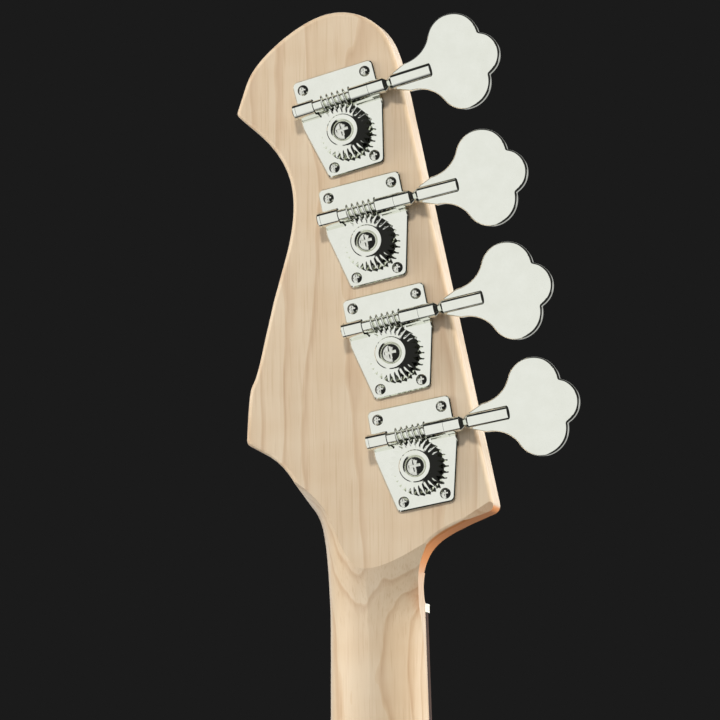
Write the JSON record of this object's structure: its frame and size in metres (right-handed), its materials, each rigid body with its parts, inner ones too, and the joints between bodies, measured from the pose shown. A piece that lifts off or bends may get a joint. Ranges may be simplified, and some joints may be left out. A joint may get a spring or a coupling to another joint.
{
  "type": "electric bass guitar",
  "caption": "Solid-body electric bass guitar with an in-line headstock, open-gear tuners that turn their string posts, a split pickup, a pickguard and a barrel-saddle bridge.",
  "frame": {"origin": "centre of the end strap button's seat on the body's end, on the centre line at half the body's thickness", "axes": "+Z along the neck to the headstock, -Y the playing side, -X the bass side with the tuner keys"},
  "size_m": [0.3292, 0.0713, 1.1974],
  "materials": {
    "black_lead": "insulated lead",
    "black_plastic": "moulded",
    "bone": "polished",
    "brass": "turned",
    "chrome_plate": "polished plating",
    "copper_wire": "enamelled winding",
    "maple": "satin to gloss clear finish",
    "nickel_silver": "polished",
    "orange_resin": "dipped",
    "pearl": "polished",
    "plain_steel": "drawn",
    "rosewood": "oiled",
    "screw_steel": "plated",
    "string_steel": "round wound",
    "sunburst_lacquer": "gloss lacquer over wood, amber middle darkening to a brown-black edge",
    "tortoise_sheet": "polished three-ply sheet"
  },
  "bodies": {
    "instrument": {"body": "sunburst_lacquer", "neck": "maple", "fingerboard": "rosewood", "frets": "nickel_silver", "position_dots": "pearl", "nut": "bone", "truss_rod": "plain_steel", "string_retainer": "chrome_plate", "string_retainer_screw": "screw_steel", "tuner_bushings": "chrome_plate", "tuner_plates": "chrome_plate", "tuner_plate_screws": "screw_steel", "neck_plate": "chrome_plate", "neck_plate_screws": "screw_steel", "pickguard": "tortoise_sheet", "pickguard_screws": "screw_steel", "pickup_covers": "black_plastic", "pickup_coils": "copper_wire", "pickup_pole_pieces": "plain_steel", "pickup_screws": "screw_steel", "bridge_plate": "chrome_plate", "bridge_plate_screws": "screw_steel", "intonation_screws": "screw_steel", "intonation_springs": "plain_steel", "potentiometers": "plain_steel", "pot_nuts": "chrome_plate", "output_jack": "chrome_plate", "tone_capacitor": "orange_resin", "wiring": "black_lead", "strap_buttons": "chrome_plate", "strap_button_screws": "screw_steel", "string_e": "string_steel", "string_a": "string_steel", "string_d": "string_steel", "string_g": "string_steel"},
    "truss_rod_nut": {"truss_rod_nut": "plain_steel"},
    "volume_control": {"volume_knob": "chrome_plate", "volume_shaft": "brass"},
    "tone_control": {"tone_knob": "chrome_plate", "tone_shaft": "brass"},
    "saddle_e": {"saddle_e": "chrome_plate"},
    "saddle_a": {"saddle_a": "chrome_plate"},
    "saddle_d": {"saddle_d": "chrome_plate"},
    "saddle_g": {"saddle_g": "chrome_plate"},
    "tuner_e_key": {"tuner_e_key": "chrome_plate"},
    "tuner_e_post": {"tuner_e_post": "chrome_plate", "tuner_e_gear": "chrome_plate", "tuner_e_gear_screw": "screw_steel"},
    "tuner_a_key": {"tuner_a_key": "chrome_plate"},
    "tuner_a_post": {"tuner_a_post": "chrome_plate", "tuner_a_gear": "chrome_plate", "tuner_a_gear_screw": "screw_steel"},
    "tuner_d_key": {"tuner_d_key": "chrome_plate"},
    "tuner_d_post": {"tuner_d_post": "chrome_plate", "tuner_d_gear": "chrome_plate", "tuner_d_gear_screw": "screw_steel"},
    "tuner_g_key": {"tuner_g_key": "chrome_plate"},
    "tuner_g_post": {"tuner_g_post": "chrome_plate", "tuner_g_gear": "chrome_plate", "tuner_g_gear_screw": "screw_steel"}
  },
  "joints": [
    {"name": "truss_rod_nut_turn", "type": "hinge", "parent": "instrument", "child": "truss_rod_nut", "pos_m": [0, -0.0199, 0.956], "axis": [0, 0, 1], "range_deg": [-180, 180]},
    {"name": "volume_turn", "type": "hinge", "parent": "instrument", "child": "volume_control", "pos_m": [0.082, -0.03, 0.158], "axis": [0, -1, 0], "range_deg": [-150, 150]},
    {"name": "tone_turn", "type": "hinge", "parent": "instrument", "child": "tone_control", "pos_m": [0.104, -0.03, 0.118], "axis": [0, -1, 0], "range_deg": [-150, 150]},
    {"name": "saddle_e_slide", "type": "slide", "parent": "instrument", "child": "saddle_e", "axis": [0, 0, 1], "range_m": [-0.004, 0.004], "deforming": ["intonation_springs", "string_e"]},
    {"name": "saddle_a_slide", "type": "slide", "parent": "instrument", "child": "saddle_a", "axis": [0, 0, 1], "range_m": [-0.004, 0.004], "deforming": ["intonation_springs", "string_a"]},
    {"name": "saddle_d_slide", "type": "slide", "parent": "instrument", "child": "saddle_d", "axis": [0, 0, 1], "range_m": [-0.004, 0.004], "deforming": ["intonation_springs", "string_d"]},
    {"name": "saddle_g_slide", "type": "slide", "parent": "instrument", "child": "saddle_g", "axis": [0, 0, 1], "range_m": [-0.004, 0.004], "deforming": ["intonation_springs", "string_g"]},
    {"name": "tuner_e_key_turn", "type": "hinge", "parent": "instrument", "child": "tuner_e_key", "pos_m": [-0.02089, 0.0004, 1.01192], "axis": [-0.9863, 0, 0.165], "continuous": true, "deforming": ["string_e"]},
    {"name": "tuner_e_post_turn", "type": "hinge", "parent": "instrument", "child": "tuner_e_post", "pos_m": [-0.02307, -0.0045, 0.9989], "axis": [0, 1, 0], "continuous": true, "deforming": ["string_e"]},
    {"name": "tuner_a_key_turn", "type": "hinge", "parent": "instrument", "child": "tuner_a_key", "pos_m": [-0.01153, 0.0004, 1.05687], "axis": [-0.9828, 0, 0.1848], "continuous": true, "deforming": ["string_a"]},
    {"name": "tuner_a_post_turn", "type": "hinge", "parent": "instrument", "child": "tuner_a_post", "pos_m": [-0.01397, -0.0045, 1.0439], "axis": [0, 1, 0], "continuous": true, "deforming": ["string_a"]},
    {"name": "tuner_d_key_turn", "type": "hinge", "parent": "instrument", "child": "tuner_d_key", "pos_m": [-0.00232, 0.0004, 1.10175], "axis": [-0.9812, 0, 0.193], "continuous": true, "deforming": ["string_d"]},
    {"name": "tuner_d_post_turn", "type": "hinge", "parent": "instrument", "child": "tuner_d_post", "pos_m": [-0.00487, -0.0045, 1.0888], "axis": [0, 1, 0], "continuous": true, "deforming": ["string_d"]},
    {"name": "tuner_g_key_turn", "type": "hinge", "parent": "instrument", "child": "tuner_g_key", "pos_m": [0.00738, 0.0004, 1.14652], "axis": [-0.9712, 0, 0.2384], "continuous": true, "deforming": ["string_g"]},
    {"name": "tuner_g_post_turn", "type": "hinge", "parent": "instrument", "child": "tuner_g_post", "pos_m": [0.00423, -0.0045, 1.1337], "axis": [0, 1, 0], "continuous": true, "deforming": ["string_g"]}
  ],
  "couplings": [
    {"joint": "tuner_e_post_turn", "follows": "tuner_e_key_turn", "ratio": 0.035714},
    {"joint": "tuner_a_post_turn", "follows": "tuner_a_key_turn", "ratio": 0.035714},
    {"joint": "tuner_d_post_turn", "follows": "tuner_d_key_turn", "ratio": 0.035714},
    {"joint": "tuner_g_post_turn", "follows": "tuner_g_key_turn", "ratio": 0.035714}
  ]
}
